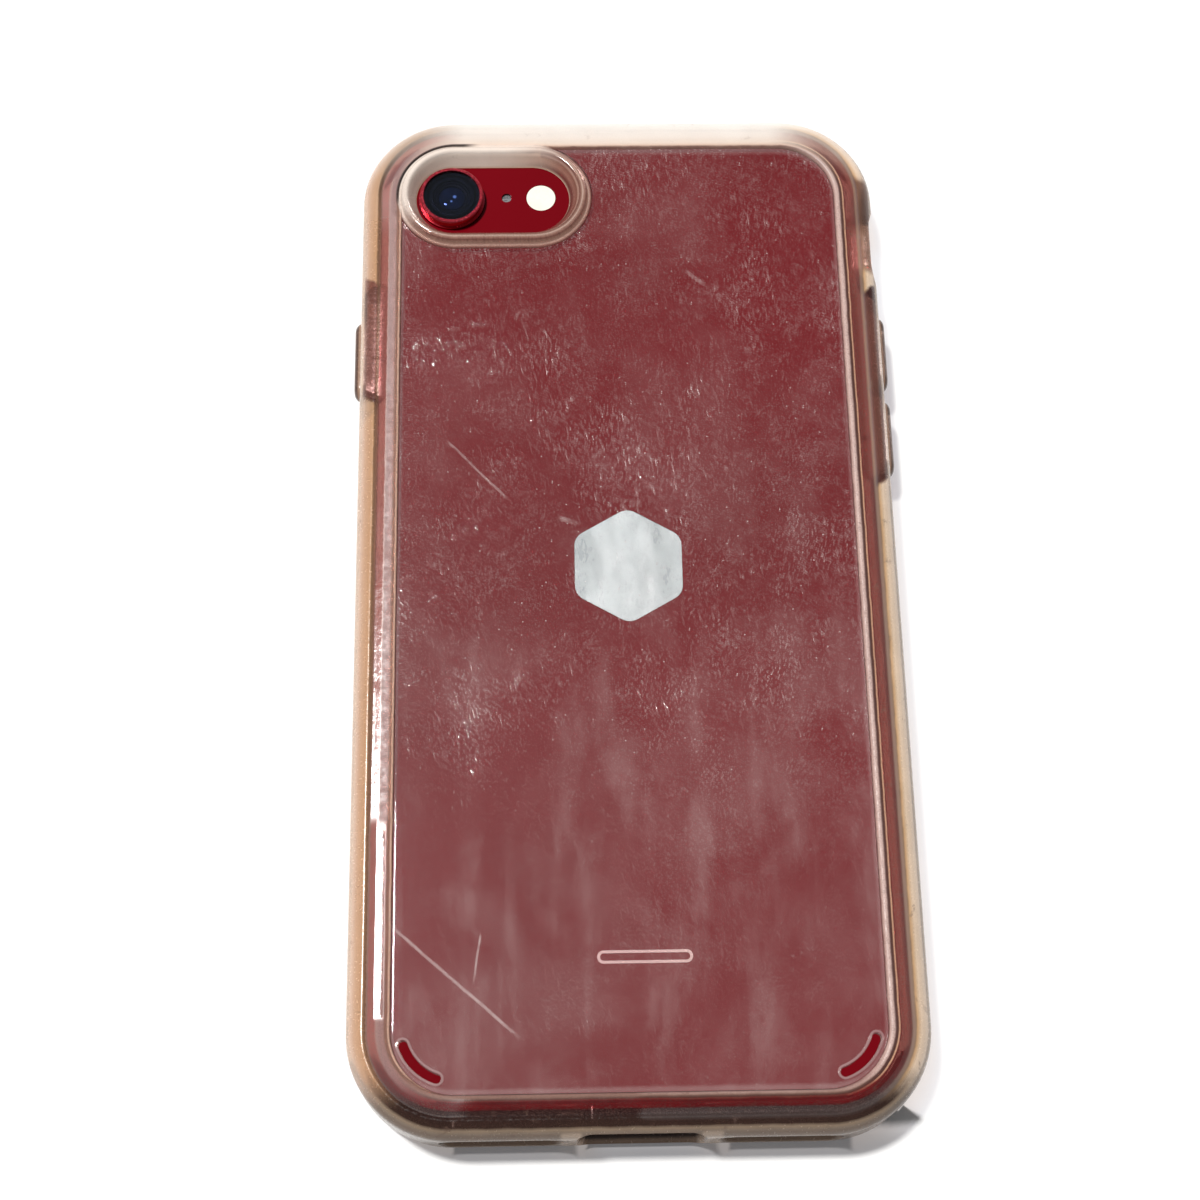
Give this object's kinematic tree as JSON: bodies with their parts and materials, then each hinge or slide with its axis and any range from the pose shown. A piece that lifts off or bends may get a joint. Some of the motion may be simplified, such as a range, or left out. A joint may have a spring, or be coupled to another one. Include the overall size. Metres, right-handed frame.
{
  "type": "phone case",
  "caption": "Translucent phone case with a soft frame, hard back panel, camera guard ring and button covers, fitted on a glass-backed phone.",
  "frame": {"origin": "centre of the case's footprint, in the plane that the front lip rests on", "axes": "+X across the case towards the volume buttons, +Y along it towards the camera, +Z out of the back panel"},
  "size_m": [0.0744, 0.144, 0.011],
  "materials": {
    "soft_tpu": "translucent satin",
    "clear_polycarbonate": "clear, finely scratched",
    "soft_tpu_cover": "translucent satin",
    "red_anodised_band": "satin anodised",
    "red_back_glass": "gloss glass over colour",
    "black_glass": "gloss",
    "home_button_glass": "gloss",
    "home_button_steel": "satin",
    "camera_trim": "polished, tinted",
    "lens_glass": "coated",
    "camera_black": "matt",
    "flash_diffuser": "frosted",
    "mic_black": "mesh",
    "silver_foil": "satin mirror",
    "silver_print": "printed",
    "port_steel": "satin",
    "screw_steel": "satin",
    "mesh_black": "woven",
    "red_anodised_tray": "satin anodised",
    "antenna_plastic": "matt",
    "display_grey": "matt",
    "battery_black": "film",
    "board_green": "solder mask",
    "motor_steel": "satin",
    "red_anodised_button": "satin anodised"
  },
  "bodies": {
    "phone": {"phone_frame": "red_anodised_band", "back_glass": "red_back_glass", "display_glass": "black_glass", "home_button": "home_button_glass", "home_button_ring": "home_button_steel", "camera_trim_ring": "camera_trim", "camera_lens_cover": "lens_glass", "camera_module": "camera_black", "flash_lens": "flash_diffuser", "rear_microphone": "mic_black", "back_emblem": "silver_foil", "back_mark": "silver_print", "charging_port_shell": "port_steel", "bottom_screws": "screw_steel", "speaker_mesh": "mesh_black", "sim_tray": "red_anodised_tray", "antenna_bands": "antenna_plastic", "earpiece_mesh": "mesh_black", "front_camera": "camera_black", "display_module": "display_grey", "battery": "battery_black", "logic_board": "board_green", "haptic_motor": "motor_steel", "speaker_module": "camera_black"},
    "case": {"bumper_frame": "soft_tpu", "front_lip": "soft_tpu", "back_panel": "clear_polycarbonate"},
    "side_cover": {"side_button_cover": "soft_tpu_cover"},
    "volume_up_cover": {"volume_up_cover": "soft_tpu_cover"},
    "volume_down_cover": {"volume_down_cover": "soft_tpu_cover"},
    "side_button": {"side_button": "red_anodised_button"},
    "volume_up_button": {"volume_up_button": "red_anodised_button"},
    "volume_down_button": {"volume_down_button": "red_anodised_button"},
    "ring_switch": {"ring_silent_switch": "red_anodised_button"}
  },
  "joints": [
    {"name": "case_lift_off", "type": "slide", "parent": "phone", "child": "case", "axis": [0, 0, 1], "range_m": [0, 0.02], "deforming": ["front_lip"]},
    {"name": "side_cover_press", "type": "slide", "parent": "case", "child": "side_cover", "axis": [1, 0, 0], "range_m": [0, 0.0004], "stiffness_N_per_m": 1500},
    {"name": "volume_up_cover_press", "type": "slide", "parent": "case", "child": "volume_up_cover", "axis": [-1, 0, 0], "range_m": [0, 0.0004], "stiffness_N_per_m": 1500},
    {"name": "volume_down_cover_press", "type": "slide", "parent": "case", "child": "volume_down_cover", "axis": [-1, 0, 0], "range_m": [0, 0.0004], "stiffness_N_per_m": 1500},
    {"name": "side_button_press", "type": "slide", "parent": "phone", "child": "side_button", "axis": [1, 0, 0], "range_m": [0, 0.0004], "stiffness_N_per_m": 1500},
    {"name": "volume_up_press", "type": "slide", "parent": "phone", "child": "volume_up_button", "axis": [-1, 0, 0], "range_m": [0, 0.0004], "stiffness_N_per_m": 1500},
    {"name": "volume_down_press", "type": "slide", "parent": "phone", "child": "volume_down_button", "axis": [-1, 0, 0], "range_m": [0, 0.0004], "stiffness_N_per_m": 1500},
    {"name": "ring_silent_switch_slide", "type": "slide", "parent": "phone", "child": "ring_switch", "axis": [0, 0, 1], "range_m": [0, 0.0015]}
  ],
  "couplings": [
    {"joint": "side_button_press", "follows": "side_cover_press", "ratio": 1},
    {"joint": "volume_up_press", "follows": "volume_up_cover_press", "ratio": 1},
    {"joint": "volume_down_press", "follows": "volume_down_cover_press", "ratio": 1}
  ]
}
